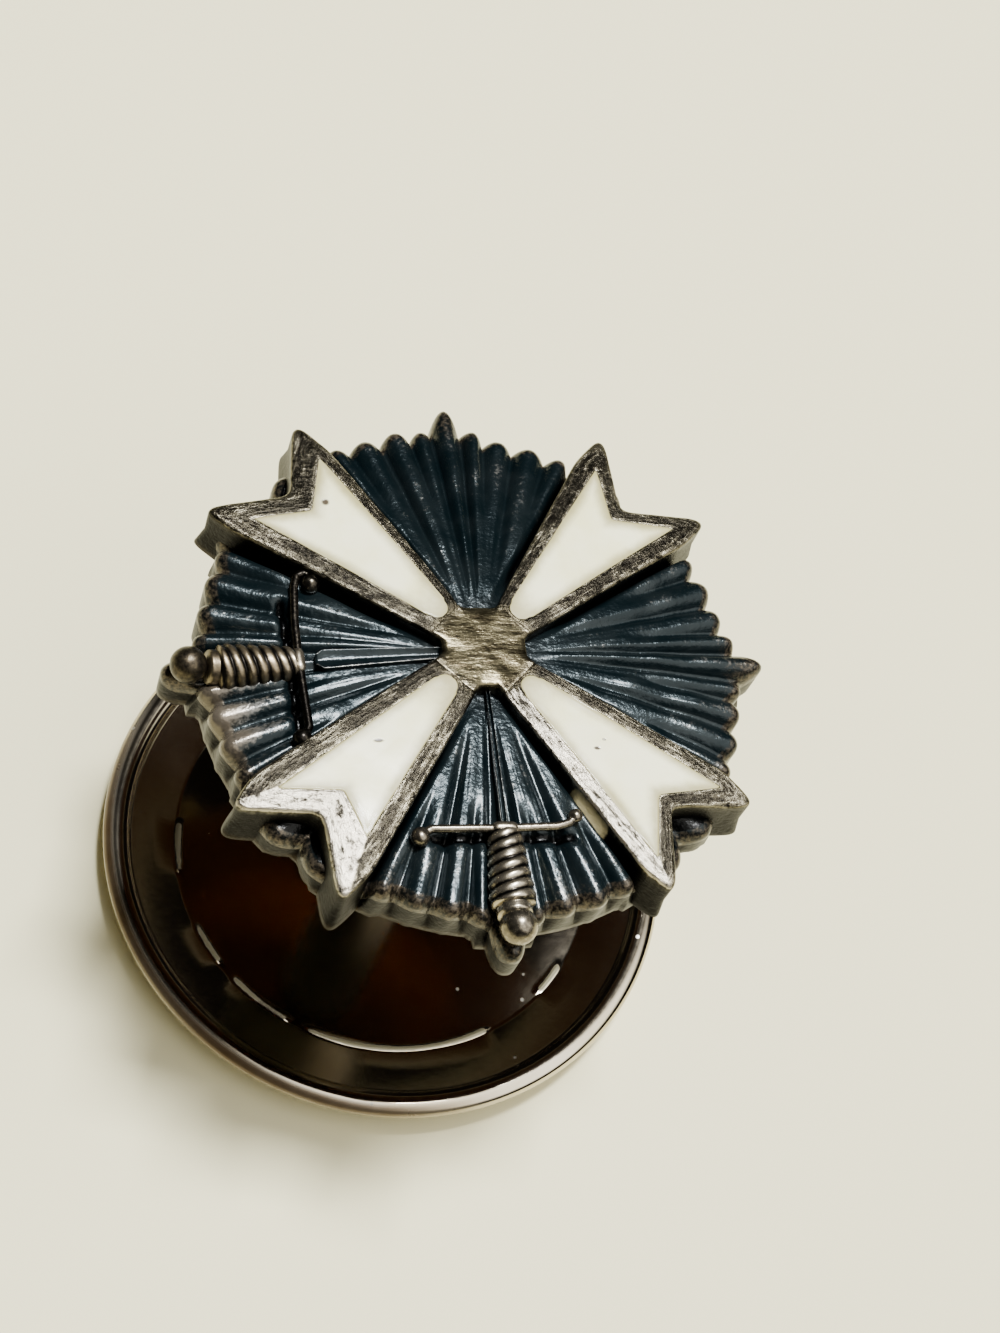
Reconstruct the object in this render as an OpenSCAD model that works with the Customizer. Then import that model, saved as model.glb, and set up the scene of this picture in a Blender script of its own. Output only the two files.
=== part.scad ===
// A badge for a lapel: a fluted star of rays carries a raised cross with four enamelled arms
// and two small sword hilts; a plain post joins it to a dished round back disc.
// Millimetres, +Z up. The origin is the middle of the back disc's underside.
// The fans of rays lie on the X and Y axes and the arms of the cross lie between them.

/* [Star] */
// Height of the hub's top above the face that the pin stands on
hub_top = 13.44; // [10:0.01:20]
// Thickness of the star from its flat underside to the hub's top
star_t = 2.1; // [1.6:0.05:3]
// Drop of the domed front from its middle to the tip circle
dome_drop = 0.36; // [0.1:0.01:0.8]
// Radius of the circle on which the cross's tips lie
tip_circle = 8; // [6:0.1:12]
// Step down from the cross's face to the crests of the rays
ray_step = 0.4; // [0.2:0.01:0.8]
// Depth of the grooves between rays at their outer ends
groove_depth = 0.38; // [0.1:0.01:0.7]
// Radius at which the grooves start
groove_start = 1; // [0.5:0.1:2]
// Length over which a ray's end rolls down
end_roll = 0.35; // [0.1:0.01:0.6]
// Height lost where a ray's end rolls down
end_drop = 0.33; // [0.1:0.01:0.6]

// Rise of the star's slightly hollow back from its rim to its middle
back_hollow = 0.12; // [0.05:0.01:0.3]

/* [Cross] */
// Distance of an arm's root corners along the arm
root_along = 1.15; // [0.8:0.01:2]
// Half the width of an arm at its root
root_half = 0.6; // [0.3:0.01:1]
// Distance of an arm's shoulders along the arm
shoulder_along = 6.98; // [5:0.01:8]
// Half the width of an arm at its shoulders
shoulder_half = 1.95; // [1:0.01:3]
// Width of the worn nose on each arm tip
tip_nose = 0.24; // [0.05:0.01:0.5]
// Height of the cross's foot above the star's underside
cross_foot = 0.4; // [0.1:0.05:1]

/* [Enamel] */
// Depth of the recess under each enamel field
recess_depth = 0.36; // [0.2:0.01:0.6]
// How far the enamel's face lies under the frame's face
enamel_low = 0.03; // [0:0.01:0.2]
// Gap left around and under each enamel field
enamel_gap = 0.03; // [0.01:0.01:0.1]
// Distance of a field's inner end along the arm
field_from = 1.35; // [1:0.01:2]
// Half the width of a field's inner end
field_half = 0.3; // [0.1:0.01:0.6]

/* [Swords] */
// Half the width of a blade where it leaves the hub
blade_half = 0.31; // [0.1:0.01:0.6]
// How many times wider the blade is at the guard
blade_flare = 1.35; // [1:0.01:2]
// Radius of the guard bar
guard_r = 0.12; // [0.05:0.01:0.3]
// Radius of the balls on the guard's ends
ball_r = 0.25; // [0.1:0.01:0.4]
// Radius of the grip beside the guard
grip_r_in = 0.34; // [0.2:0.01:0.6]
// Radius of the grip beside the pommel
grip_r_out = 0.56; // [0.3:0.01:0.8]
// Length of the grip
grip_len = 2.1; // [1:0.05:3]
// Number of turns of binding on the grip
grip_turns = 8; // [3:1:12]
// Height of each turn of binding
turn_h = 0.06; // [0.01:0.01:0.15]
// Depth of the grip's axis under the hub's top beside the guard
grip_low_in = 0.56; // [0.3:0.01:1]
// Depth of the grip's axis under the hub's top beside the pommel
grip_low_out = 0.62; // [0.3:0.01:1]
// Width of the collar between grip and pommel
collar_w = 0.3; // [0.1:0.01:0.5]
// Radius of the pommel
pommel_r = 0.48; // [0.2:0.01:0.8]
// Distance of the pommel from the hub
pommel_at = 7.75; // [6:0.01:9]
// Depth of the pommel's middle under the hub's top
pommel_low = 0.4; // [0.2:0.01:1]

/* [Post] */
// Radius of the post
post_r = 1.25; // [0.8:0.05:2]
// Depth of the post's seat in the star
post_seat = 0.8; // [0.3:0.05:1.2]
// Gap around the post where it sits in the star and the disc
post_gap = 0.03; // [0.01:0.01:0.1]

/* [Back disc] */
// Thickness of the disc's sheet
sheet_t = 0.5; // [0.3:0.05:1]
// Radius of the disc's flat floor
floor_r = 6.45; // [4:0.05:8]
// Radius of the bend between floor and flange
bend_r = 1; // [0.3:0.05:2]
// Radius of the middle of the rolled bead
bead_at = 8.42; // [6:0.01:12]
// Height of the middle of the rolled bead
bead_z = 1.08; // [0.6:0.01:3]
// Radius of the rolled bead's section
bead_r = 0.31; // [0.1:0.01:0.6]
// Slope of the flange's upper face in degrees
flange_slope = 18; // [5:0.5:40]
// Slope of the flange's lower face in degrees, which runs into the bead
under_slope = 24; // [5:0.5:40]

/* [Hidden] */
$fn = 96;

underside = hub_top - star_t;
dome_r = (tip_circle * tip_circle + dome_drop * dome_drop) / (2 * dome_drop);
slop = 0.5;

// One row for each arm of the cross, all lengths measured along and across the arm.
ARM_AZIMUTH = 0;
ARM_NOTCH = 1;
ARM_CW_ALONG = 2;
ARM_CW_ACROSS = 3;
ARM_CCW_ALONG = 4;
ARM_CCW_ACROSS = 5;
FIELD_NOTCH = 6;
FIELD_CW_ALONG = 7;
FIELD_CW_ACROSS = 8;
FIELD_CCW_ALONG = 9;
FIELD_CCW_ACROSS = 10;
ARMS = [
  [45, 6.48, 7.94, 1.95, 7.94, 1.95, 5.98, 7.14, 1.4, 7.06, 1.34],
  [135, 6.7, 7.92, 1.98, 7.8, 1.98, 5.94, 6.92, 1.5, 6.86, 1.3],
  [225, 6.6, 7.82, 1.76, 7.86, 1.88, 5.8, 6.88, 1.24, 6.36, 1.24],
  [315, 6.42, 7.72, 1.86, 7.7, 1.78, 5.98, 7.02, 1.44, 7.06, 1.44]
];

// One row for each ray on one side of a fan's axis, from the axis outwards.
RAY_TO = 0;
RAY_REACH = 1;
RAY_FOOT = 2;
RAYS = [
  [3.3, 8.18, 7.5],
  [8.5, 7.5, 7.13],
  [15.5, 7.43, 7.13],
  [23.2, 7.43, 7.13],
  [29.4, 7.45, 7.3],
  [34.2, 8.33, 7.5],
  [45, 7.62, 7.1]
];

// One row for each fan from +X anticlockwise: extra reach of its middle ray, and its lean.
FAN_EXTRA = 0;
FAN_LEAN = 1;
FANS = [
  [0, 0],
  [0, 0],
  [0.24, 2.4],
  [0.32, 0]
];

// One row for each sword; the side is +1 where the hooked end of the guard lies anticlockwise.
SWORD_AZIMUTH = 0;
SWORD_SIDE = 1;
SWORD_GUARD = 2;
SWORDS = [
  [270.2, 1, 5.06],
  [183.5, -1, 4.9]
];

// Path of the guard bar in the sword's frame: distance beyond the guard, then across the blade.
GUARD_PATH = [[0.4, -2.4], [0.12, -2.12], [0, -1.9], [0, 1.4], [-0.1, 1.72], [-0.42, 2.03]];

// Corners of the slot beside the hooked end of the lower sword's guard.
SLOT = [[2.18, -3.9], [2.6, -3.92], [2.78, -4.46], [2.9, -4.97], [2.53, -4.86], [2.42, -4.38]];

function dome(r) = dome_drop * pow(r / tip_circle, 2);
function polar(r, a) = [r * cos(a), r * sin(a)];
function turned(p, a) = [p[0] * cos(a) - p[1] * sin(a), p[0] * sin(a) + p[1] * cos(a)];
function mix(a, b, t) = a + (b - a) * t;

function arm_outline(arm) = [
  [root_along, -root_half],
  [shoulder_along, -shoulder_half],
  [arm[ARM_CW_ALONG], -arm[ARM_CW_ACROSS]],
  [arm[ARM_CW_ALONG], tip_nose - arm[ARM_CW_ACROSS]],
  [arm[ARM_NOTCH], 0],
  [arm[ARM_CCW_ALONG], arm[ARM_CCW_ACROSS] - tip_nose],
  [arm[ARM_CCW_ALONG], arm[ARM_CCW_ACROSS]],
  [shoulder_along, shoulder_half],
  [root_along, root_half]
];

function cross_outline() = [for (arm = ARMS) for (p = arm_outline(arm)) turned(p, arm[ARM_AZIMUTH])];

// Outline of one enamel field, drawn in by a gap on every side.
function field_outline(arm, gap) = [
  [field_from + gap, -field_half + gap],
  [arm[FIELD_CW_ALONG] - 2 * gap, -arm[FIELD_CW_ACROSS] + gap],
  [arm[FIELD_CW_ALONG] - gap - tip_nose / 4, 2 * gap + tip_nose / 2 - arm[FIELD_CW_ACROSS]],
  [arm[FIELD_NOTCH] - gap, 0],
  [arm[FIELD_CCW_ALONG] - gap - tip_nose / 4, arm[FIELD_CCW_ACROSS] - tip_nose / 2 - 2 * gap],
  [arm[FIELD_CCW_ALONG] - 2 * gap, arm[FIELD_CCW_ACROSS] - gap],
  [field_from + gap, field_half - gap]
];

// Rays of a whole fan, each [from angle, to angle, reach, foot at start, foot at end].
function ray_from(k) = k == 0 ? -RAYS[0][RAY_TO] : RAYS[k - 1][RAY_TO];
function foot_before(k) = k == 0 ? RAYS[0][RAY_FOOT] : RAYS[k - 1][RAY_FOOT];
last_ray = len(RAYS) - 1;
FAN = concat(
  [for (k = [last_ray:-1:1])
    [-RAYS[k][RAY_TO], -ray_from(k), RAYS[k][RAY_REACH], RAYS[k][RAY_FOOT], foot_before(k)]],
  [for (k = [0:last_ray])
    [ray_from(k), RAYS[k][RAY_TO], RAYS[k][RAY_REACH], foot_before(k), RAYS[k][RAY_FOOT]]]
);

// Spokes of the ray plate, each [azimuth, outline radius, distance from the ray's crest].
RAY_SAMPLES = [-1, -0.5, 0, 0.5];
function spoke(ray, quarter, t) =
  let (reach = ray[2] + (ray[0] * ray[1] < 0 ? FANS[quarter][FAN_EXTRA] : 0),
       angle = mix(ray[0], ray[1], (t + 1) / 2))
  [90 * quarter + angle + FANS[quarter][FAN_LEAN] * (1 - abs(angle) / 45),
   reach - (reach - (t < 0 ? ray[3] : ray[4])) * t * t,
   abs(t)];
SPOKES = [for (quarter = [0:3]) for (ray = FAN) for (t = RAY_SAMPLES) spoke(ray, quarter, t)];
spokes_n = len(SPOKES);

function groove(r) = groove_depth * max(0, r - groove_start) / (tip_circle - groove_start);
function ray_z(r, t) = hub_top - ray_step - dome(r) - groove(r) * t * t;

// Rings of the ray plate: share of the way out, distance short of the outline, drop, and where.
RING_SHARE = 0;
RING_SHORT = 1;
RING_DROP = 2;
RING_LEVEL = 3;
RINGS = [
  [0, 0, 0, "front"],
  [0.35, 0, 0, "front"],
  [0.7, 0, 0, "front"],
  [1, 1, 0, "front"],
  [1, 0.3, 0.35, "front"],
  [1, 0, 1, "front"],
  [1, 0, 0, "rim"],
  [0, 0, 0, "middle"]
];

function ring_z(ring, r, t) =
  ring[RING_LEVEL] == "front" ? ray_z(r, t) - ring[RING_DROP] * end_drop
  : ring[RING_LEVEL] == "rim" ? underside
  : underside + back_hollow;
function ring_point(ring, s) =
  let (r = groove_start + (s[1] - groove_start - ring[RING_SHORT] * end_roll) * ring[RING_SHARE])
  concat(polar(r, s[0]), ring_z(ring, r, s[2]));

// Solid through a stack of rings with n points each, closed by its first and last ring.
module lofted(rings, n) {
  last = (len(rings) - 1) * n;
  bands = [for (b = [0:len(rings) - 2]) for (i = [0:n - 1])
    let (a = b * n, j = (i + 1) % n)
    each [[a + i, a + n + j, a + n + i], [a + i, a + j, a + n + j]]];
  top = [[for (i = [n - 1:-1:0]) i]];
  bottom = [[for (i = [0:n - 1]) last + i]];
  polyhedron(points = [for (ring = rings) each ring], faces = concat(top, bands, bottom),
             convexity = 8);
}

// A plate of rounded rays with a scalloped edge, closed by a flat underside.
module ray_plate() {
  lofted([for (ring = RINGS) [for (s = SPOKES) ring_point(ring, s)]], spokes_n);
}

// Ball on which the star's front lies, drawn in by a depth.
module dome_ball(depth) {
  translate([0, 0, hub_top - dome_r])
    sphere(r = dome_r - depth, $fn = 360);
}

module cross_frame() {
  intersection() {
    translate([0, 0, underside + cross_foot])
      linear_extrude(height = star_t)
        polygon(cross_outline());
    dome_ball(0);
  }
}

// Space between two balls inside the outline of one enamel field.
module field_block(arm, side_gap, top_depth, floor_depth) {
  difference() {
    intersection() {
      rotate([0, 0, arm[ARM_AZIMUTH]])
        translate([0, 0, hub_top - star_t / 2])
          linear_extrude(height = star_t)
            polygon(field_outline(arm, side_gap));
      dome_ball(top_depth);
    }
    dome_ball(floor_depth);
  }
}

module enamel_field(arm) {
  field_block(arm, enamel_gap, enamel_low, recess_depth - enamel_gap);
}

// Round bar between two points given as [along, across, height].
module bar(a, b, r) {
  d = b - a;
  translate(a)
    rotate([0, acos(d[2] / norm(d)), atan2(d[1], d[0])])
      cylinder(h = norm(d), r = r, $fn = 24);
}

module guard_bar(guard, side) {
  height = hub_top - ray_step - dome(guard) + guard_r / 4;
  points = [for (p = GUARD_PATH) [guard + p[0], side * p[1], height]];
  last = len(points) - 1;
  for (i = [1:last])
    bar(points[i - 1], points[i], guard_r);
  for (i = [0:last])
    translate(points[i])
      sphere(r = i == 0 || i == last ? ball_r : 1.1 * guard_r, $fn = 32);
}

// Section of a blade with a raised middle line.
blade_rise = 0.12;
blade_root = 0.9;
function blade_section(x, half) =
  let (z = hub_top - ray_step - dome(x))
  [[x, -half, z - slop], [x, half, z - slop], [x, half, z], [x, 0, z + blade_rise], [x, -half, z]];

module blade(guard) {
  lofted([blade_section(guard, blade_half * blade_flare), blade_section(blade_root, blade_half)], 5);
}

// Radius of the bound grip, one rounded turn after another.
function grip_radius(x) = mix(grip_r_in, grip_r_out, x / grip_len)
  + turn_h * (abs(sin(180 * grip_turns * x / grip_len)) - 1);
module grip(guard) {
  start = guard + guard_r / 2;
  steps = 4 * grip_turns;
  translate([start, 0, hub_top - grip_low_in])
    rotate([0, 90 + atan2(grip_low_out - grip_low_in, grip_len), 0]) {
      rotate_extrude($fn = 48)
        polygon(concat([[0, 0]],
                       [for (i = [0:steps]) [grip_radius(i * grip_len / steps), i * grip_len / steps]],
                       [[0, grip_len]]));
      translate([0, 0, grip_len - slop])
        cylinder(h = slop + collar_w, r = grip_r_out - 2 * turn_h, $fn = 48);
    }
  translate([pommel_at, 0, hub_top - pommel_low])
    sphere(r = pommel_r, $fn = 48);
}

module sword(row) {
  guard = row[SWORD_GUARD];
  block = [0.3, 0.76, 0.5];
  rotate([0, 0, row[SWORD_AZIMUTH]]) {
    blade(guard);
    guard_bar(guard, row[SWORD_SIDE]);
    translate([guard, 0, hub_top - ray_step - dome(guard)] - block / 2)
      cube(block);
    grip(guard);
  }
}

// The whole silver casting.
module star() {
  color("#8b8478")
  difference() {
    union() {
      ray_plate();
      cross_frame();
      for (row = SWORDS)
        sword(row);
    }
    for (arm = ARMS)
      field_block(arm, 0, -slop, recess_depth);
    translate([0, 0, underside - slop])
      cylinder(h = slop + post_seat, r = post_r + post_gap);
    translate([0, 0, underside - slop])
      linear_extrude(height = star_t + 2 * slop)
        polygon(SLOT);
  }
}

module enamel_upper_right() {
  color("#f0eee2") enamel_field(ARMS[0]);
}

module enamel_upper_left() {
  color("#f0eee2") enamel_field(ARMS[1]);
}

module enamel_lower_left() {
  color("#f0eee2") enamel_field(ARMS[2]);
}

module enamel_lower_right() {
  color("#f0eee2") enamel_field(ARMS[3]);
}

module post() {
  color("#b9b4a8")
  translate([0, 0, post_gap])
    cylinder(h = underside + post_seat - 2 * post_gap, r = post_r);
}

// Section of the disc's sheet from its hole to the bead, bent up beyond the flat floor.
BEND_STEPS = 6;
function bend(radius, slope) = [for (i = [0:BEND_STEPS])
  let (a = slope * i / BEND_STEPS)
  [floor_r + radius * sin(a), bend_r + sheet_t - radius * cos(a)]];
function flange_end(from, slope) = from + (bead_at - from[0]) * [1, tan(slope)];

module back_disc() {
  hole_r = post_r + post_gap;
  lower = bend(bend_r + sheet_t, under_slope);
  upper = bend(bend_r, flange_slope);
  color("#c9c7c1")
  difference() {
    union() {
      rotate_extrude($fn = 180)
        polygon(concat([[0, 0]], lower,
                       [flange_end(lower[BEND_STEPS], under_slope)],
                       [flange_end(upper[BEND_STEPS], flange_slope)],
                       [for (i = [BEND_STEPS:-1:0]) upper[i]],
                       [[0, sheet_t]]));
      rotate_extrude($fn = 180)
        translate([bead_at, bead_z])
          circle(r = bead_r, $fn = 48);
    }
    translate([0, 0, -slop])
      cylinder(h = sheet_t + 2 * slop, r = hole_r);
  }
}

star();
enamel_upper_right();
enamel_upper_left();
enamel_lower_left();
enamel_lower_right();
post();
back_disc();
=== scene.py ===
import math

import bmesh
import bpy
from mathutils import Euler, Matrix, Vector, noise


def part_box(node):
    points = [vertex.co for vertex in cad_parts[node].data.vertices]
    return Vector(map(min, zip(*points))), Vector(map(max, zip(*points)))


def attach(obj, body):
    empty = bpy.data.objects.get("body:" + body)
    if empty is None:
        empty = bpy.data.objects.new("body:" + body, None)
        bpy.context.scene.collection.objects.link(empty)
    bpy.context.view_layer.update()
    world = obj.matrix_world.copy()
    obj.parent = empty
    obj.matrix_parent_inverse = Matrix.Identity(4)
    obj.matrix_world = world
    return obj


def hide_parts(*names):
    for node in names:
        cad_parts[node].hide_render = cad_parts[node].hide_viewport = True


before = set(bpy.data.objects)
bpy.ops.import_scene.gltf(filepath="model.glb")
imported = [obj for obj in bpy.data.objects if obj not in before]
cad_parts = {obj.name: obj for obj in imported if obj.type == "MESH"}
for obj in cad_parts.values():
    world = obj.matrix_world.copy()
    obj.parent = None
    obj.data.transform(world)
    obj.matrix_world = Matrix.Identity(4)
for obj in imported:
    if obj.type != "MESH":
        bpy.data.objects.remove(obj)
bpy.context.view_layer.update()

# Lengths are in millimetres here and turn into metres when a mesh is written.
MM = 0.001
TURN = 2 * math.pi

# Heights and radii that come from the frame
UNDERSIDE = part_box("star")[0].z / MM
POST_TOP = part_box("post")[1].z / MM
POST_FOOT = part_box("post")[0].z / MM
POST_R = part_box("post")[1].x / MM

# Star: its middle's top, the circle through its tips and how far its face drops there, the
# step down to the rays, where the plate starts under the hub, how deep the valleys between
# rays are at the tips, the rounding of the rays' ends, and the hollow of the back.
HUB_TOP = 13.44
TIP_CIRCLE = 8.0
DOME_DROP = 0.36
RAY_STEP = 0.4
PLATE_START = 1.0
GROOVE_DEPTH = 0.44
END_ROLL = 0.34
END_DROP = 0.34
BACK_HOLLOW = 0.12
BACK_HOLLOW_R = 7.4

# Cross: depth of the recesses, how low the enamel lies in them, how far the walls go down,
# then an arm's shoulder and the inner end of its field, both as along and half width, and the
# blunt width of a tip.
RECESS_DEPTH = 0.34
ENAMEL_LOW = 0.012
CROSS_FOOT = 0.95
SHOULDER = (6.98, 1.95)
FIELD_ROOT = (1.35, 0.3)
TIP_NOSE = 0.24

# One row for each ray on one side of a fan's axis: where it ends, its reach, the outline
# beside it, its height over the others, how deep the line along its crest is, and how far out
# the groove beside it starts.
RAYS = [
    (3.3, 8.18, 7.5, 0.05, 0.0, 1.8),
    (8.5, 7.5, 7.2, 0.0, 0.0, 4.2),
    (15.5, 7.43, 7.2, 0.02, 0.02, 2.2),
    (23.2, 7.43, 7.2, 0.0, 0.0, 4.4),
    (29.4, 7.45, 7.33, -0.02, 0.0, 2.2),
    (34.2, 7.8, 7.5, -0.1, 0.0, 1.4),
    (45.0, 7.62, 7.1, -0.1, 0.0, 1.0),
]

# One row for each fan from +X anticlockwise: extra reach and height of its middle ray, its
# lean, then the distance and half width of its inner end beside the hub.
FANS = [(0.0, 0.0, 0.0, 1.16, 0.3), (0.0, 0.0, 0.0, 1.2, 0.46), (0.18, -0.14, 2.4, 1.13, 0.2),
        (0.22, -0.14, 0.0, 1.17, 0.24)]

# One row for each arm: azimuth, notch, clockwise tip along and across, anticlockwise tip
# along and across, then the same five sizes of its enamel field.
ARMS = {
    "upper_right": (45, 6.48, 8.12, 1.97, 8.14, 1.97, 5.98, 7.14, 1.4, 7.06, 1.34),
    "upper_left": (135, 6.7, 8.12, 2.0, 7.96, 2.0, 5.94, 6.92, 1.5, 6.86, 1.3),
    "lower_left": (225, 6.6, 7.92, 1.78, 7.96, 1.9, 5.8, 6.88, 1.24, 6.36, 1.24),
    "lower_right": (315, 6.42, 7.84, 1.88, 7.98, 1.84, 5.98, 7.02, 1.44, 7.06, 1.44),
}

# One row for each sword: azimuth, side of the guard's hooked end, distance of the guard, half
# width of the blade and where it ends.
SWORDS = {"lower": (270.2, 1, 5.06, 0.09, 5.0), "left": (183.5, -1, 4.9, 0.3, 4.45)}
# Path of a guard up to its hook: distance beyond the guard's middle, then across the blade.
GUARD_PATH = [(0.4, -2.4), (0.12, -2.12), (0.0, -1.9), (0.0, 0.0)]
HOOKS = {"lower": [(-0.04, 1.4), (-0.14, 1.75), (-0.46, 2.06)],
         "left": [(-0.06, 1.2), (-0.18, 2.2), (-0.3, 2.55), (-0.5, 2.64), (-0.64, 2.5), (-0.64, 2.04)]}
# Radius of each guard's bar and of the knob at its hooked end, and its wear
GUARD_BARS = {"lower": (0.11, 0.19, 0.65), "left": (0.12, 0.26, 0.42)}
PLAIN_KNOB_R = 0.25
# Grip and pommel: places beyond the guard or from the hub, and depths under the hub's top
GRIP_START = 0.02
GRIP_LENGTH = 2.1
GRIP_TURNS = 7
GRIP_LOW_IN = 0.56
GRIP_LOW_OUT = 0.62
GRIP_R_IN = 0.42
GRIP_R_OUT = 0.62
COLLAR_R = 0.46
POMMEL_AT = 7.75
POMMEL_R = 0.48
POMMEL_LOW = 0.4

# Back disc: gap round the post, thickness, its floor, the bends up to the flange from below
# and above, the bead's section, and the slopes of the flange in degrees.
POST_GAP = 0.03
SHEET = 0.5
FLOOR_R = 6.45
BEND_R = 1.0
TOP_BEND_R = 0.35
BEAD_AT = 8.42
BEAD_Z = 1.08
BEAD_R = 0.31
BEAD_HALF = 0.4
FLANGE_SLOPE = 18
UNDER_SLOPE = 24


# Finishes

class Wire:
    """One output of a shader node; arithmetic on it adds Math nodes."""

    def __init__(self, finish, socket):
        self.finish = finish
        self.socket = socket

    def maths(self, operation, *values):
        return self.finish.node("ShaderNodeMath", {"operation": operation}, *values)

    def __add__(self, other):
        return self.maths("ADD", self, other)

    def __sub__(self, other):
        return self.maths("SUBTRACT", self, other)

    def __rsub__(self, other):
        return self.maths("SUBTRACT", other, self)

    def __mul__(self, other):
        return self.maths("MULTIPLY", self, other)

    __radd__ = __add__
    __rmul__ = __mul__

    def above(self, low, high):
        """0 below low, 1 over high and a smooth step between them."""
        return self.finish.node("ShaderNodeMapRange", {"interpolation_type": "SMOOTHSTEP"},
                                self, low, high)

    def or_more(self, other):
        """The larger of two values."""
        return self.maths("MAXIMUM", self, other)


class Finish:
    """A procedural material, built node by node."""

    def __init__(self, name):
        self.material = bpy.data.materials.new(name)
        self.material.use_nodes = True
        self.nodes = self.material.node_tree.nodes
        self.links = self.material.node_tree.links
        self.shader = self.nodes["Principled BSDF"]

    def node(self, kind, settings, *values, output=0, **named):
        """Adds a node, sets it up, then fills its inputs in order and by name."""
        node = self.nodes.new(kind)
        for key, value in settings.items():
            setattr(node, key, value)
        for key, value in [*enumerate(values), *named.items()]:
            if value is not None:
                self.fill(node.inputs[key if isinstance(key, int) else key.replace("_", " ")], value)
        return Wire(self, node.outputs[output])

    def fill(self, socket, value):
        """Links a wire to a socket or sets a plain value there."""
        if isinstance(value, Wire):
            self.links.new(value.socket, socket)
        else:
            socket.default_value = value

    def place(self):
        """Object coordinates in millimetres."""
        here = self.node("ShaderNodeTexCoord", {}, output="Object")
        return self.node("ShaderNodeVectorMath", {"operation": "MULTIPLY"}, here, (1 / MM,) * 3)

    def place_along(self, axis):
        """Object coordinate along one axis in millimetres."""
        return self.node("ShaderNodeSeparateXYZ", {}, self.place(), output="XYZ".index(axis))

    def speckle(self, scale, detail=4.0, rough=0.55, stretch=(1, 1, 1), turn=0.0):
        """Noise from 0 to 1 with about `scale` lumps to a millimetre."""
        where = self.node("ShaderNodeMapping", {}, self.place(), Scale=stretch,
                          Rotation=(0, 0, math.radians(turn)))
        return self.node("ShaderNodeTexNoise", {}, Vector=where, Scale=scale, Detail=detail,
                         Roughness=rough)

    def streaks(self, across, along):
        """Noise drawn out along a rim: `across` grows over its width, `along` lumps to a mm."""
        flat = self.node("ShaderNodeVectorMath", {"operation": "MULTIPLY"}, self.place(),
                         (along, along, 0.0))
        off = self.node("ShaderNodeCombineXYZ", {}, 0.0, 0.0, across)
        where = self.node("ShaderNodeVectorMath", {"operation": "ADD"}, flat, off)
        return self.node("ShaderNodeTexNoise", {}, Vector=where, Scale=1.0, Detail=4.0,
                         Roughness=0.6)

    def mark(self, name):
        """A float attribute of the mesh."""
        return self.node("ShaderNodeAttribute", {"attribute_name": name}, output="Fac")

    def blend(self, share, a, b):
        """Colour a where share is 0 and colour b where it is 1."""
        return self.node("ShaderNodeMix", {"data_type": "RGBA"}, share, *[None] * 5, a, b, output=2)

    def spots(self, centres, soft):
        """1 inside each of some ellipsoids, given as a centre and three radii, and 0 outside."""
        here, inside = self.place(), None
        for centre, radii in centres:
            off = self.node("ShaderNodeVectorMath", {"operation": "SUBTRACT"}, here, centre)
            share = self.node("ShaderNodeVectorMath", {"operation": "DIVIDE"}, off, radii)
            away = self.node("ShaderNodeVectorMath", {"operation": "LENGTH"}, share, output="Value")
            spot = 1 - away.above(1 - soft, 1 + soft)
            inside = spot if inside is None else inside.or_more(spot)
        return inside

    def bump(self, height, strength, distance, over=None):
        """Normal bumped by a height, with its distance in millimetres, over another normal."""
        return self.node("ShaderNodeBump", {}, Strength=strength, Distance=distance * MM,
                         Height=height, Normal=over)

    def set(self, **values):
        """Fills the shader's own inputs by name."""
        for key, value in values.items():
            self.fill(self.shader.inputs[key.replace("_", " ")], value)


def rgb(red, green, blue):
    """A colour from screen values of 0 to 255."""
    return tuple((c / 255) ** 2.2 for c in (red, green, blue)) + (1.0,)


def painted_wall_light_and_shade(finish, grain):
    """Colour of the star's edge with painted light and shade: painted shade, nearly black, under the
    rim, and a painted lit olive foot on the left, darker to the right.
    """
    foot = 1 - (finish.place_along("Z") + grain * 0.3).above(UNDERSIDE + 0.2, UNDERSIDE + 0.5)
    right = (finish.place_along("X") + grain).above(1.5, 4.5)
    return finish.blend(foot, rgb(13, 11, 10), finish.blend(right, rgb(46, 40, 31), rgb(20, 18, 15)))


# Ray ends that are rubbed bare below the left hilt: middle and radii
BARE_SPOTS = [((-6.4, -1.7, 12.6), (1.2, 1.0, 1.5))]


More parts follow.
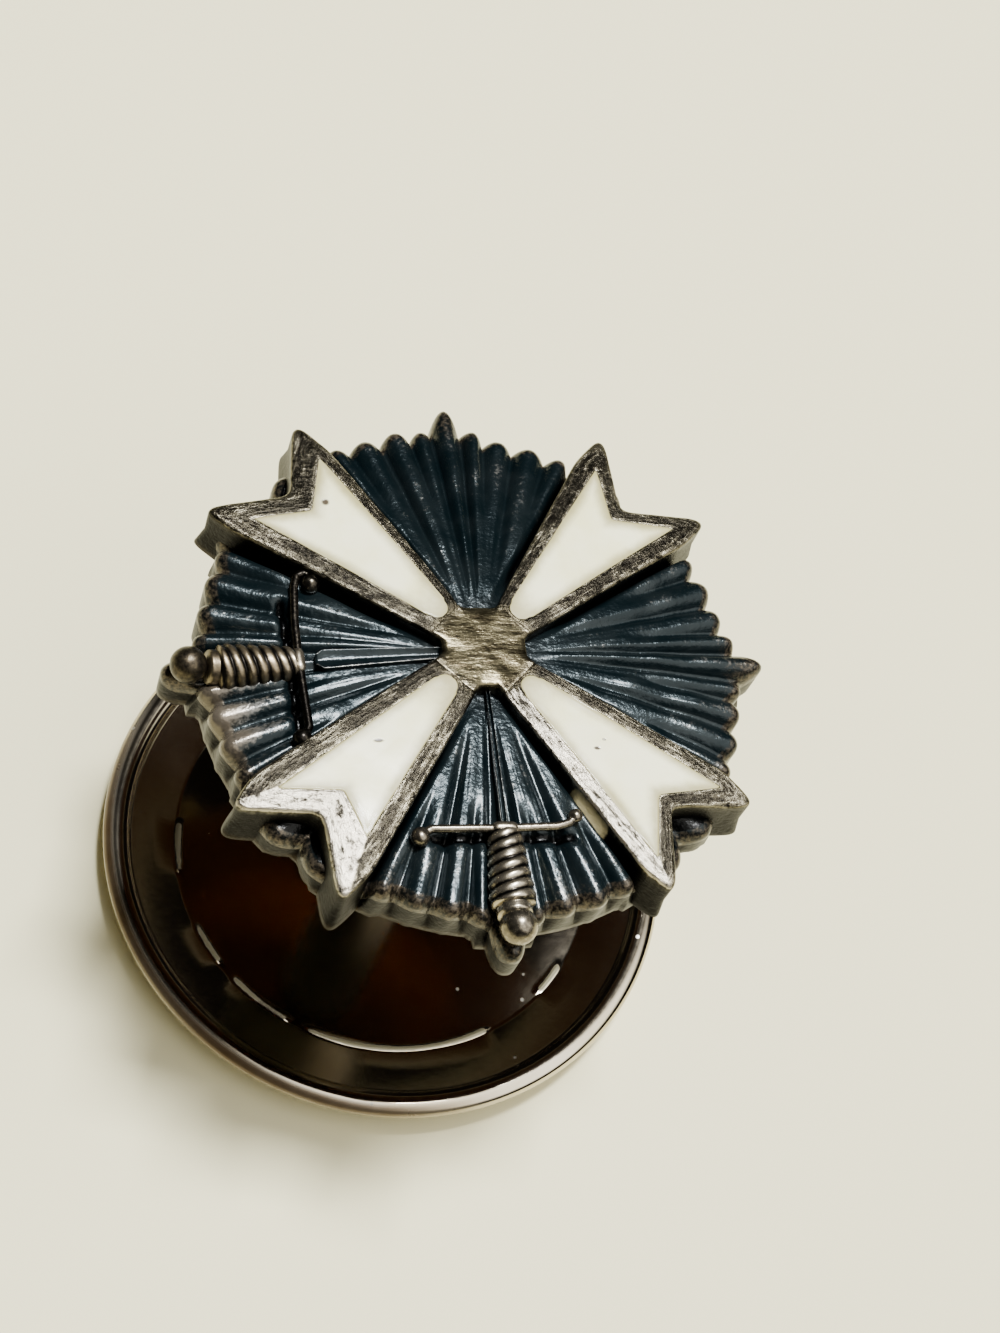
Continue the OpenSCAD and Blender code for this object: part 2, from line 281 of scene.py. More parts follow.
def oxidised_rays():
    """Cast silver under a glossy slate-black skin, rubbed on its crests and brown at its ends, with
    painted shade next to the hub and in the grooves, and painted light and shade on its edge.
    """
    finish = Finish("oxidised_silver")
    crest, reach, shade = finish.mark("crest"), finish.mark("reach"), finish.mark("shade")
    grain = finish.speckle(9, detail=4, rough=0.6)
    patches = finish.speckle(0.9, detail=3)
    bare = finish.spots(BARE_SPOTS, soft=0.8)
    worn = (crest * 0.35 + grain * 0.7 + patches * 0.5 + reach * 0.1 + bare * 0.3).above(1.05, 1.33)
    ends = (reach + patches * 0.2 + grain * 0.1 + bare * crest * 0.16).above(1.02, 1.16)
    slate = finish.blend(patches.above(0.35, 0.7), rgb(18, 28, 31), rgb(31, 38, 40))
    # Painted shade on the plate next to the hub
    root = (1 - reach.above(0.16, 0.36)) * 0.5
    rubbed = finish.blend(worn, slate, rgb(106, 105, 101))
    dull = finish.blend(grain.above(0.38, 0.66), rgb(30, 27, 23), rgb(84, 76, 64))
    brown = finish.blend(bare, dull, rgb(100, 93, 82))
    # Painted shade: near black in the grooves beside the arms and guards and next to the hub
    painted_shade = shade.or_more(root).above(0.2, 0.9)
    topside = finish.blend(painted_shade, finish.blend(ends, rubbed, brown), rgb(7, 8, 9))
    wall, under = reach.above(1.005, 1.015), reach.above(1.05, 1.2)
    # The star's edge with painted light and shade
    edge = finish.blend(wall, topside, painted_wall_light_and_shade(finish, grain))
    pits = finish.speckle(8, detail=3, rough=0.6)
    finish.set(
        Base_Color=finish.blend(under, edge, rgb(28, 17, 9)),
        Metallic=0.55 + wall * 0.45,
        Roughness=0.18 + grain * 0.12 + wall * 0.16,
        Coat_Weight=0.1 - wall.or_more(painted_shade) * 0.1,
        Normal=finish.bump(pits, 0.5, 0.03, finish.bump(finish.speckle(3, detail=2), 0.25, 0.06)),
    )
    finish.set(Coat_Roughness=0.1, Specular_IOR_Level=0.28)
    return finish.material


# Middles and radii of the pale patch of painted light, the lit inside of the slot beside the lower
# right arm
SLOT_LIGHT_SPOTS = [((2.18, -4.18, 12.75), (0.26, 0.3, 0.42)), ((2.4, -4.5, 12.75), (0.28, 0.4, 0.46)),
              ((2.6, -4.84, 12.75), (0.26, 0.42, 0.42))]


def worn_frame():
    """Worn silver of the cross's frame: brown with grime, mottled, rubbed and scratched, with a
    painted highlight on rims facing the lower left, painted light and shade on its walls and a painted
    lit patch in the slot beside the lower right arm.
    """
    finish = Finish("worn_silver_frame")
    wear, reach, painted_highlight = finish.mark("crest"), finish.mark("reach"), finish.mark("painted_highlight")
    streaks = finish.streaks(finish.mark("share") * 5, 1.6)
    pits = finish.speckle(7, detail=5, rough=0.7)
    patches = finish.speckle(0.8, detail=3)
    hub = 1 - reach.above(0.13, 0.2)
    lumps = pits * 0.5 + streaks
    rubbed = (wear * 0.6 + lumps * 1.1 + patches * 0.5 + painted_highlight * 0.24).above(1.38, 1.72)
    holes = 1 - (pits * 0.6 + streaks * 0.4).above(0.4, 0.48)
    dents = finish.speckle(1.7, detail=4, rough=0.6, stretch=(1, 2, 1), turn=20)
    scratches = finish.speckle(2.6, detail=5, rough=0.7, stretch=(0.5, 3, 1), turn=14)
    grime = finish.blend(patches, rgb(30, 28, 24), rgb(54, 51, 43))
    silver = finish.blend(scratches.above(0.35, 0.65), rgb(84, 79, 65), rgb(134, 128, 110))
    # Painted highlight: the rims facing the lower left turn pale silver
    bright = finish.blend(painted_highlight, silver, rgb(172, 165, 149))
    worn_rim = finish.blend(rubbed, grime, bright)
    rim = finish.blend(holes * (1 - hub) * (1 - painted_highlight * 0.2), worn_rim, rgb(26, 24, 20))
    scraped = (scratches + patches * 0.3).above(0.52, 0.8)
    worn_hub = finish.blend(scraped, rgb(44, 39, 28), rgb(94, 88, 68))
    wall = 1 - wear.above(0.02, 0.3)
    # The frame's walls with painted light and shade
    edge = finish.blend(wall, finish.blend(hub, rim, worn_hub), painted_wall_light_and_shade(finish, pits))
    # Painted light: a pale patch on the wall stands in for the lit inside of the slot
    painted_slot_light = (finish.spots(SLOT_LIGHT_SPOTS, soft=0.7) + pits * 0.5 - 0.25).above(0.3, 0.6) * wall
    relief = finish.bump(scratches * hub, 0.5, 0.014, finish.bump(dents * hub, 0.4, 0.035))
    finish.set(
        Base_Color=finish.blend(painted_slot_light, edge, rgb(226, 212, 160)),
        Metallic=(0.92 + wall * 0.08) * (1 - painted_slot_light),
        Roughness=0.2 + pits * 0.12 + wall * 0.2 + painted_highlight * 0.05 - hub * 0.05,
        Normal=finish.bump(lumps * (1 - hub * 0.85), 0.8, 0.06, relief),
    )
    return finish.material


def sword_silver():
    """Silver of the hilts: dark in the hollows, rubbed warm on top, and duller on the left hilt."""
    finish = Finish("worn_silver_swords")
    wear = finish.mark("crest")
    pits = finish.speckle(8, detail=4, rough=0.65)
    patches = finish.speckle(1.1, detail=2)
    dull = 1 - finish.place_along("X").above(-5.6, -4.6)
    rubbed = (wear * 0.8 + pits * 0.4 + patches * 0.3 - dull * 0.08).above(0.65, 1.15)
    bright = finish.blend(dull, rgb(176, 166, 146), rgb(132, 120, 98))
    finish.set(
        Base_Color=finish.blend(rubbed, rgb(32, 30, 28), bright),
        Metallic=0.95,
        Roughness=0.2 + pits * 0.12 + dull * 0.1,
        Normal=finish.bump(pits, 0.3, 0.02),
    )
    return finish.material


# Dark pits in the enamel: their middles and radii
PITS = [((-3.82, 4.48, 13.2), (0.1, 0.1, 0.4)), ((2.93, -2.69, 13.3), (0.05, 0.04, 0.4)),
        ((2.7, -2.95, 13.3), (0.09, 0.05, 0.4)), ((-3.09, -2.75, 13.3), (0.12, 0.05, 0.4))]


def cream_enamel():
    """Glossy cream enamel, stained yellow-green at its edges, with a few dark pits."""
    finish = Finish("cream_enamel")
    rim = finish.mark("rim")
    clouds = finish.speckle(0.7, detail=3)
    fine = finish.speckle(6, detail=3)
    body = finish.blend(clouds.above(0.35, 0.7), rgb(240, 238, 200), rgb(230, 227, 176))
    edge = (rim + fine * 0.08 + clouds * 0.25).above(0.78, 1.16)
    stained = finish.blend(edge * 0.9, body, rgb(140, 132, 86))
    pit = finish.spots(PITS, soft=0.4) * fine.above(0.3, 0.5)
    finish.set(
        Base_Color=finish.blend(pit, stained, rgb(70, 62, 50)),
        Roughness=0.2 + clouds * 0.1 + edge * 0.15,
        Normal=finish.bump(clouds - pit, 0.25, 0.04),
    )
    finish.set(Coat_Weight=0.15, Coat_Roughness=0.08, Specular_IOR_Level=0.4)
    return finish.material


def polished_nickel():
    """Polished nickel plate, yellowed: a few light spots, creases made pale by wear and a painted
    highlight, and a painted brown reflection on the bead.
    """
    finish = Finish("polished_nickel")
    clouds = finish.speckle(0.4, detail=3)
    fine = finish.speckle(5, detail=4)
    spots = finish.node("ShaderNodeTexVoronoi", {"feature": "F1"}, Vector=finish.place(), Scale=0.9)
    spot = 1 - (spots + fine * 0.05).above(0.06, 0.1)
    # Pale creases: partly wear, partly a painted highlight where the bent floor catches light
    rub_and_highlight = (finish.mark("crease") + fine * 0.3).above(0.45, 0.75)
    # Painted brown reflection on the upper outer side of the bead
    brown = finish.mark("painted_reflection") * (0.7 + clouds * 0.4)
    metal = finish.blend(clouds.above(0.3, 0.7), rgb(206, 197, 178), rgb(188, 177, 154))
    plate = finish.blend(brown, finish.blend(spot, metal, rgb(222, 218, 206)), rgb(72, 52, 26))
    finish.set(
        Base_Color=finish.blend(rub_and_highlight, plate, rgb(150, 145, 118)),
        Metallic=1 - rub_and_highlight * 0.8 - brown * 0.6,
        Roughness=0.07 + fine * 0.06 + (spot + rub_and_highlight + brown) * 0.25,
        Normal=finish.bump(fine, 0.08, 0.01),
    )
    return finish.material


def turned_nickel():
    """Turned nickel silver with fine rings round the post."""
    finish = Finish("turned_nickel_silver")
    rings = finish.speckle(1.0, detail=4, stretch=(0.4, 0.4, 26))
    finish.set(
        Base_Color=finish.blend(rings, rgb(68, 62, 51), rgb(96, 89, 74)),
        Metallic=1.0,
        Roughness=0.36 + rings * 0.14,
        Normal=finish.bump(rings, 0.3, 0.02),
    )
    return finish.material


def pale_floor():
    """Matt off-white floor with faint clouds."""
    finish = Finish("pale_floor")
    clouds = finish.speckle(0.03, detail=3)
    finish.set(
        Base_Color=finish.blend(clouds, rgb(217, 211, 170), rgb(225, 219, 180)),
        Roughness=0.7,
    )
    return finish.material


RAY_SILVER = oxidised_rays()
FRAME_SILVER = worn_frame()
SWORD_SILVER = sword_silver()
ENAMEL = cream_enamel()
NICKEL = polished_nickel()
POST_METAL = turned_nickel()


# Shaping

def polar(r, degrees, z=0.0):
    """The point at a radius, azimuth and height."""
    a = math.radians(degrees)
    return Vector((r * math.cos(a), r * math.sin(a), z))


def mix(a, b, t):
    """a where t is 0 and b where it is 1."""
    return a + (b - a) * t


def smooth(t):
    """0 below 0, 1 above 1 and a smooth step between them."""
    t = min(max(t, 0.0), 1.0)
    return t * t * (3 - 2 * t)


def dome(r):
    """Drop of the star's domed face at a radius."""
    return DOME_DROP * (r / TIP_CIRCLE) ** 2


def turned(flat, azimuth):
    """A flat point turned about the star's middle."""
    return Matrix.Rotation(math.radians(azimuth), 2) @ Vector(flat)


def piece(name, bm, nodes, material):
    """Writes a mesh in millimetres as a piece of the pin that stands for CAD nodes."""
    bmesh.ops.remove_doubles(bm, verts=bm.verts, dist=1e-4)
    bmesh.ops.dissolve_degenerate(bm, edges=bm.edges, dist=1e-5)
    bmesh.ops.recalc_face_normals(bm, faces=bm.faces)
    bmesh.ops.scale(bm, vec=(MM, MM, MM), verts=bm.verts)
    for face in bm.faces:
        face.smooth = True
    mesh = bpy.data.meshes.new(name)
    bm.to_mesh(mesh)
    bm.free()
    obj = bpy.data.objects.new(name, mesh)
    bpy.context.scene.collection.objects.link(obj)
    mesh.materials.append(material)
    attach(obj, "root")
    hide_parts(*nodes)


def lay_sheet(bm, columns, rows, place, marks):
    """Adds a tube of columns by rows; where a row is one point, it closes there.

    place(i, j) gives a vertex's place, then one value for each named mark.
    """
    layers = [bm.verts.layers.float.get(m) or bm.verts.layers.float.new(m) for m in marks]
    made = bmesh.ops.create_grid(bm, x_segments=columns, y_segments=rows, size=0.5)["verts"]
    for vert in made:
        i = round((vert.co.x + 0.5) * columns)
        j = round((vert.co.y + 0.5) * rows)
        spot, *values = place(i % columns, j)
        vert.co = spot
        for layer, value in zip(layers, values):
            vert[layer] = value
    bmesh.ops.remove_doubles(bm, verts=made, dist=1e-5)


def close_ends(bm):
    """Closes the open ends of all tubes in a mesh."""
    open_edges = [e for e in bm.edges if e.is_boundary]
    bmesh.ops.holes_fill(bm, edges=open_edges, sides=0)


def spun(section, steps):
    """A ring or bowl turned about +Z from a closed section of [radius, height] points."""
    bm = bmesh.new()
    verts = [bm.verts.new((r, 0, z)) for r, z in section]
    edges = [bm.edges.new((verts[k - 1], verts[k])) for k in range(len(verts))]
    bmesh.ops.spin(bm, geom=verts + edges, axis=(0, 0, 1), cent=(0, 0, 0), angle=TURN,
                   steps=steps, use_merge=True)
    return bm


def arc(centre, r, start, end, steps):
    """Points of an arc, angles in degrees from the +radius direction."""
    angles = [math.radians(mix(start, end, k / steps)) for k in range(steps + 1)]
    return [(centre[0] + r * math.cos(a), centre[1] + r * math.sin(a)) for a in angles]


def along(points, share):
    """The point at a share of an open path's length."""
    lengths = [(b - a).length for a, b in zip(points, points[1:])]
    left = share * sum(lengths)
    for a, b, length in zip(points, points[1:], lengths):
        if left <= length:
            return a.lerp(b, left / length)
        left -= length
    return points[-1].copy()


# Plate of rays

def whole_fan():
    """Rays of a fan: start, end, reach, height, crest line, then outline and groove by side."""
    half, start = [], -RAYS[0][0]
    outline, groove = RAYS[0][2], RAYS[0][5]
    for end, reach, after, height, line, next_groove in RAYS:
        half.append((start, end, reach, height, line, (outline, after), (groove, next_groove)))
        start, outline, groove = end, after, next_groove
    other = [(-end, -start, reach, height, line, outlines[::-1], grooves[::-1])
             for start, end, reach, height, line, outlines, grooves in half[1:]]
    return other[::-1] + half


RAY_COLUMNS = 12
FRONT_ROWS = 64
ROLL_ROWS = 8
WALL_ROWS = 5
BACK_ROWS = 5

# Change of reach and height from ray to ray, and how far a notch's foot stands out
RAY_CHANCE = 0.1
FOOT_SPREAD = 0.2
FOOT_EASE = 0.05

# Values of the mark "reach" on the star's edge and on its back, past those of its face
ON_WALL = 1.02
ON_BACK = 1.3


def ray_nose(t, blunt):
    """Share of a ray's reach at a distance t from its crest; blunt ends are nearly square."""
    return (1 - abs(t) ** 2.5) ** 0.6 if blunt else 1 - abs(t) ** 1.8


def ray_spokes():
    """Azimuth, outline radius, distance from the crest, height, crest line, foot's radius,
    start of the groove and angle from the fan's axis of each spoke."""
    spokes = []
    for quarter, (extra, rise, lean, _, _) in enumerate(FANS):
        for start, end, reach, height, line, outlines, grooves in whole_fan():
            middle = start * end < 0
            chance = 0.0 if middle else noise.noise(Vector((end * 0.37, quarter * 1.7, 5.0)))
            reach += extra * middle + RAY_CHANCE * chance
            height += rise * middle + RAY_CHANCE * chance
            for k in range(RAY_COLUMNS):
                t = 2 * k / RAY_COLUMNS - 1
                angle = mix(start, end, k / RAY_COLUMNS)
                side = outlines[t > 0]
                outline = mix(side, reach, ray_nose(t, extra and middle))
                foot = max(outline, side + FOOT_SPREAD)
                azimuth = 90 * quarter + angle + lean * (1 - abs(angle) / 45)
                spokes.append((azimuth, outline, t, height, line, foot, grooves[t > 0], angle))
    return spokes


# Trench beside the arms, and an arm's half width at its root with its growth outwards
TRENCH_DEPTH = 0.26
TRENCH_WIDTH = 0.26
TRENCH_START = 1.3
ARM_ROOT_AT = 1.15
ARM_ROOT_HALF = 0.6
ARM_GROWTH = 0.232


def trench(r, angle):
    """Drop of the plate close beside an arm of the cross."""
    off = math.radians(45 - abs(angle))
    arm_half = ARM_ROOT_HALF + ARM_GROWTH * (r * math.cos(off) - ARM_ROOT_AT)
    gap = r * math.sin(off) - arm_half
    return TRENCH_DEPTH * smooth((r - TRENCH_START) / 2) * (1 - smooth(gap / TRENCH_WIDTH))


# Groove in the plate along the outer side of a guard, and its distance beyond the guard
UNDERCUT_DEPTH = 0.2
UNDERCUT_AT = 0.19
UNDERCUT_WIDTH = 0.12
UNDERCUT_HALF_LENGTH = 2.05
# Depth of that groove at which the mark "shade" is full
FULL_SHADE = 0.15


def undercut(r, azimuth):
    """Drop of the plate along the outer side of each guard."""
    drop = 0.0
    for at, _, guard, _, _ in SWORDS.values():
        flat = turned(polar(r, azimuth).xy, -at)
        reach = smooth((UNDERCUT_HALF_LENGTH - abs(flat.y)) / 0.25) * (flat.x > 0)
        away = (flat.x - guard - UNDERCUT_AT) / UNDERCUT_WIDTH
        drop += UNDERCUT_DEPTH * reach * math.exp(-away ** 2)
    return drop


# Width of the line along a crest, the casting's unevenness and the drop beside the hub
CREST_LINE_WIDTH = 0.18
CAST_UNEVEN = 0.05
ROOT_DROP = 0.04


def ray_face(r, azimuth, t, height, line, groove, angle):
    """Height of the plate's front at a distance t from a ray's crest."""
    grown = max(0.0, (r - groove) / (TIP_CIRCLE - groove))
    swell = smooth((r - PLATE_START) / 3.5)
    soft, sharp = 0.5 - 0.5 * math.cos(math.pi * t), mix(abs(t) ** 2.6, t * t, 0.7)
    valley = GROOVE_DEPTH * grown * mix(soft, sharp, smooth((r - 3) / 3))
    crest_line = line * smooth((r - 2) / 2) * math.exp(-(t / CREST_LINE_WIDTH) ** 2)
    uneven = CAST_UNEVEN * swell * noise.noise(polar(r, azimuth, 1.0) * 1.1)
    lift = height * swell * (1 - abs(t) ** 3)
    root = ROOT_DROP * (1 - smooth((r - 1.1) / 1.3))
    drop = dome(r) + valley + crest_line + trench(r, angle) + undercut(r, azimuth) + root
    return HUB_TOP - RAY_STEP - drop + lift + uneven


def back_height(r):
    """Height of the star's slightly hollow back."""
    outward = (r - PLATE_START) / (BACK_HOLLOW_R - PLATE_START)
    return UNDERSIDE + BACK_HOLLOW * max(0.0, 1 - outward)


def build_ray_plate():
    """The star's plate: each spoke runs out over the face, down the edge and in along the back."""
    spokes = ray_spokes()

    def place(i, j):
        azimuth, outline, t, height, line, foot, groove, angle = spokes[i]
        crest = 1 - abs(t) ** 1.5
        shoulder = outline - END_ROLL
        if j <= FRONT_ROWS:
            r = mix(PLATE_START, shoulder, j / FRONT_ROWS)
            z = ray_face(r, azimuth, t, height, line, groove, angle)
            shade = max(undercut(r, azimuth) / FULL_SHADE, trench(r, angle) / TRENCH_DEPTH)
            return polar(r, azimuth, z), crest, r / TIP_CIRCLE, shade
        top = ray_face(shoulder, azimuth, t, height, line, groove, angle)
        j -= FRONT_ROWS
        if j <= ROLL_ROWS:
            a = math.pi / 2 * j / ROLL_ROWS
            r = shoulder + END_ROLL * math.sin(a)
            reach = 0.99 * r / outline
            return polar(r, azimuth, top - END_DROP * (1 - math.cos(a))), crest, reach, 0.0
        j -= ROLL_ROWS
        if j <= WALL_ROWS:
            share = j / WALL_ROWS
            z = mix(top - END_DROP, UNDERSIDE + FOOT_EASE, share)
            return polar(mix(outline, foot, smooth(share)), azimuth, z), crest * 0.4, ON_WALL, 0.0
        share = 1 - (j - WALL_ROWS) / (BACK_ROWS + 1)
        r = mix(PLATE_START, foot - FOOT_EASE, min(share * (BACK_ROWS + 1) / BACK_ROWS, 1))
        return polar(r, azimuth, back_height(r)), 0.0, ON_BACK, 0.0

    bm = bmesh.new()
    rows = FRONT_ROWS + ROLL_ROWS + WALL_ROWS + BACK_ROWS + 1
    lay_sheet(bm, len(spokes), rows, place, ("crest", "reach", "shade"))
    close_ends(bm)
    piece("ray_plate", bm, ["star"], RAY_SILVER)


# Cross

# Steps between an arm's corners, the last for its inner end
SIDE_STEPS = [60, 10, 3, 20, 20, 3, 10, 60, 14]
# Rounds of smoothing for the corners of an arm, an enamel field and the hub
ARM_ROUNDS = 8
FIELD_ROUNDS = 2
HUB_ROUNDS = 4
# Radius of a field's inner end
FIELD_END_R = 0.31


def arm_roots(azimuth):
    """Inner corners of an arm in its own frame, beside the fans clockwise and anticlockwise."""
    quarter = azimuth // 90
    cw_away, cw_half = FANS[quarter][3:]
    ccw_away, ccw_half = FANS[(quarter + 1) % 4][3:]
    return turned((cw_away, cw_half), -45), turned((ccw_away, -ccw_half), 45)


def arm_corners(arm):
    """Corners of an arm from its clockwise root round its tips to the other root."""
    azimuth, notch, cw_along, cw_across, ccw_along, ccw_across = arm[:6]
    cw_root, ccw_root = arm_roots(azimuth)
    return [
        cw_root, (SHOULDER[0], -SHOULDER[1]), (cw_along, -cw_across),
        (cw_along, TIP_NOSE - cw_across), (notch, 0.0), (ccw_along, ccw_across - TIP_NOSE),
        (ccw_along, ccw_across), SHOULDER, ccw_root,
    ]


def field_corners(arm):
    """Corners of an arm's enamel field, one for each corner of the arm."""
    notch, cw_along, cw_across, ccw_along, ccw_across = arm[6:]
    back, slope, nose = 0.4, 0.18, 0.05
    return [
        (FIELD_ROOT[0], -FIELD_ROOT[1]), (cw_along - back, slope * back - cw_across),
        (cw_along, -cw_across), (cw_along - nose, 2 * nose - cw_across), (notch, 0.0),
        (ccw_along - nose, ccw_across - 2 * nose), (ccw_along, ccw_across),
        (ccw_along - back, ccw_across - slope * back), FIELD_ROOT,
    ]


def stepped(corners, steps, rounds):
    """A closed loop through corners, each side in its own steps and each corner rounded."""
    loop = []
    for k, count in enumerate(steps):
        a, b = Vector(corners[k]), Vector(corners[(k + 1) % len(corners)])
        loop += [a.lerp(b, s / count) for s in range(count)]
    for _ in range(rounds):
        loop = [(loop[i - 1] + 2 * loop[i] + loop[(i + 1) % len(loop)]) / 4
                for i in range(len(loop))]
    return loop


def field_loop(arm):
    """Outline of an enamel field, with its inner end rounded."""
    loop = stepped(field_corners(arm), SIDE_STEPS, FIELD_ROUNDS)
    end = Vector((sum(FIELD_ROOT), 0.0))
    for k, flat in enumerate(loop):
        away = flat - end
        if away.x < 0 and away.length > FIELD_END_R:
            loop[k] = end + away.normalized() * FIELD_END_R
    return loop


# Foot of the frame's edge: share of the way in, and height over the star's back
FOOT_SECTION = [(-0.06, 0.02), (-0.1, 0.09)]
# Section of the frame's rim: share of the way in, drop under the dome and wear
RIM_SECTION = [
    (-0.08, 1.5, 0.0), (0.0, CROSS_FOOT, 0.0), (0.0, 0.5, 0.0), (0.0, 0.16, 0.2),
    (0.02, 0.09, 0.9), (0.07, 0.05, 1.0), (0.17, 0.032, 0.8), (0.35, 0.021, 0.55),
    (0.6, 0.007, 0.5), (0.82, -0.002, 0.55), (0.91, 0.002, 0.8), (0.99, 0.01, 1.0),
    (1.0, 0.012, 0.9), (1.0, RECESS_DEPTH, 0.0),
]
# How far out the hub's sides over the arms lie, how low the arms run under it, and how uneven
# their rims are
HUB_EDGE = 1.27
UNDER_HUB = 0.04
RIM_RIPPLE = 0.014

# Where the tips' feet begin to stand out, and by how much more than along the sides
TIP_START = 6.2
TIP_FLARE = 0.5

# Wall of the lower right arm beside its slot: from, to, and how much it leans out with depth
SLOT_FROM = 4.2
SLOT_TO = 5.7
SLOT_LEAN = 0.4

# Rims with a painted highlight: the direction that they face, and how far up and to the right they are
# found
PAINTED_HIGHLIGHT_WAY = Vector((-0.6, -0.8))
PAINTED_HIGHLIGHT_UP_TO = 0.4
PAINTED_HIGHLIGHT_RIGHT_TO = 4.6


def tip_spread(flat):
    """How many times wider the foot of an arm stands out there than along its sides."""
    return 1 + TIP_FLARE * smooth((flat.x - TIP_START) / 1.2)


def slot_slope(flat, azimuth, drop):
    """How far the wall beside the lower right arm's slot leans out at a drop under the rim."""
    if azimuth != ARMS["lower_right"][0] or flat.y > 0:
        return 0.0
    beside = smooth((flat.x - SLOT_FROM) / 0.3) * smooth((SLOT_TO - flat.x) / 0.3)
    return SLOT_LEAN * beside * max(0.0, min(drop, CROSS_FOOT) - 0.2)


def painted_highlight(loop, i, azimuth):
    """1 on the rims that get a painted highlight: below the hub, facing the lower left."""
    ahead = loop[(i + 1) % len(loop)] - loop[i - 1]
    out = turned((ahead.y, -ahead.x), azimuth).normalized()
    here = turned(loop[i], azimuth)
    facing = smooth((out @ PAINTED_HIGHLIGHT_WAY - 0.3) / 0.4)
    low, left = smooth((PAINTED_HIGHLIGHT_UP_TO - here.y) / 2.5), smooth((PAINTED_HIGHLIGHT_RIGHT_TO - here.x) / 0.4)
    return facing * low * left


def lay_arm(bm, arm):
    """An arm's walls and rim, from the star's back up, over the rim and down to its enamel."""
    outer = stepped(arm_corners(arm), SIDE_STEPS, ARM_ROUNDS)
    inner = field_loop(arm)

    def place(i, j):
        if j < len(FOOT_SECTION):
            share, height = FOOT_SECTION[j]
            flat = outer[i].lerp(inner[i], share * tip_spread(outer[i]))
            p = turned(flat, arm[0])
            z = back_height(flat.length) + height
            return Vector((p.x, p.y, z)), 0.0, ON_WALL, 0.0, 0.0
        share, drop, wear = RIM_SECTION[j - len(FOOT_SECTION)]
        flat = outer[i].lerp(inner[i], share * (tip_spread(outer[i]) if share < 0 else 1))
        if share <= 0:
            flat.y -= slot_slope(flat, arm[0], drop)
        under_hub = UNDER_HUB * smooth((HUB_EDGE - 0.02 - flat.x) / 0.1)
        p = turned(flat, arm[0])
        ripple = RIM_RIPPLE * noise.noise(Vector((p.x * 2.5, p.y * 2.5, 0)))
        z = HUB_TOP - dome(flat.length) - drop - under_hub + ripple
        wear = min(wear, 0.45 + smooth((flat.x - 1.7) / 0.6))
        # Painted highlight on the rims facing the lower left
        bright = painted_highlight(outer, i, arm[0])
        return Vector((p.x, p.y, z)), wear, flat.length / TIP_CIRCLE, bright, share

    rows = len(FOOT_SECTION) + len(RIM_SECTION) - 1
    lay_sheet(bm, len(outer), rows, place, ("crest", "reach", "painted_highlight", "share"))


# Section of the hub: share of the way out, then drop under the dome beside a fan and an arm
HUB_SECTION = [(0.0, 0.0, 0.0), (0.4, 0.0, 0.0), (0.7, 0.0, 0.0), (0.86, 0.004, 0.0),
               (0.94, 0.016, 0.0), (0.98, 0.045, 0.002), (1.0, 0.12, 0.006), (1.0, 0.7, 0.3)]
# Steps along an arm's side, over its root, along its other side and beside the next fan, how
# much wider the hub is than the arms' roots, and the height of its dents
HUB_STEPS = [4, 16, 4, 12]
HUB_LAP = 1.008
HUB_DENTS = 0.02


def lay_hub(bm):
    """The middle of the cross: four sides beside the fans and four over the arms' roots."""
    corners, sides = [], []
    for arm in ARMS.values():
        cw_side, ccw_side = arm_corners(arm)[:2], arm_corners(arm)[-1:-3:-1]
        over = []
        for root, shoulder in (cw_side, ccw_side):
            root, shoulder = Vector(root), Vector(shoulder)
            over.append(root.lerp(shoulder, (HUB_EDGE - root.x) / (shoulder.x - root.x)))
        flats = [cw_side[0], over[0], over[1], ccw_side[0]]
        corners += [turned(flat * HUB_LAP, arm[0]) for flat in flats]
        sides += HUB_STEPS
    loop = stepped(corners, sides, HUB_ROUNDS)
    whole = sum(HUB_STEPS)

    def place(i, j):
        share, at_fan, at_arm = HUB_SECTION[j]
        p = loop[i] * share
        drop = at_arm if HUB_STEPS[0] <= i % whole <= sum(HUB_STEPS[:2]) else at_fan
        bumpy = noise.noise(Vector((p.x * 1.6, p.y * 2.4, 7.0))) if share < 0.9 else 0.0
        z = HUB_TOP - dome(p.length) - drop + HUB_DENTS * bumpy
        return Vector((p.x, p.y, z)), 1.0, p.length / TIP_CIRCLE

    lay_sheet(bm, len(loop), len(HUB_SECTION) - 1, place, ("crest", "reach"))


def build_cross_frame():
    """The silver frame of all four arms and the hub that covers their roots."""
    bm = bmesh.new()
    for arm in ARMS.values():
        lay_arm(bm, arm)
    lay_hub(bm)
    close_ends(bm)
    piece("cross_frame", bm, ["star"], FRAME_SILVER)


# Section of an enamel field: share of the way out, and height over its face
FIELD_SECTION = [(0.0, -0.28), (1.0, -0.28), (1.0, -0.004), (0.995, 0.0), (0.95, 0.002),
                 (0.88, 0.0), (0.75, 0.0), (0.6, 0.0), (0.4, 0.0), (0.2, 0.0), (0.0, 0.0)]
# Gap to the frame, the point that the section runs out from, and the height of the swells
FIELD_GAP = 0.001
FIELD_MIDDLE = Vector((4.6, 0.0))
FIELD_SWELL = 0.02


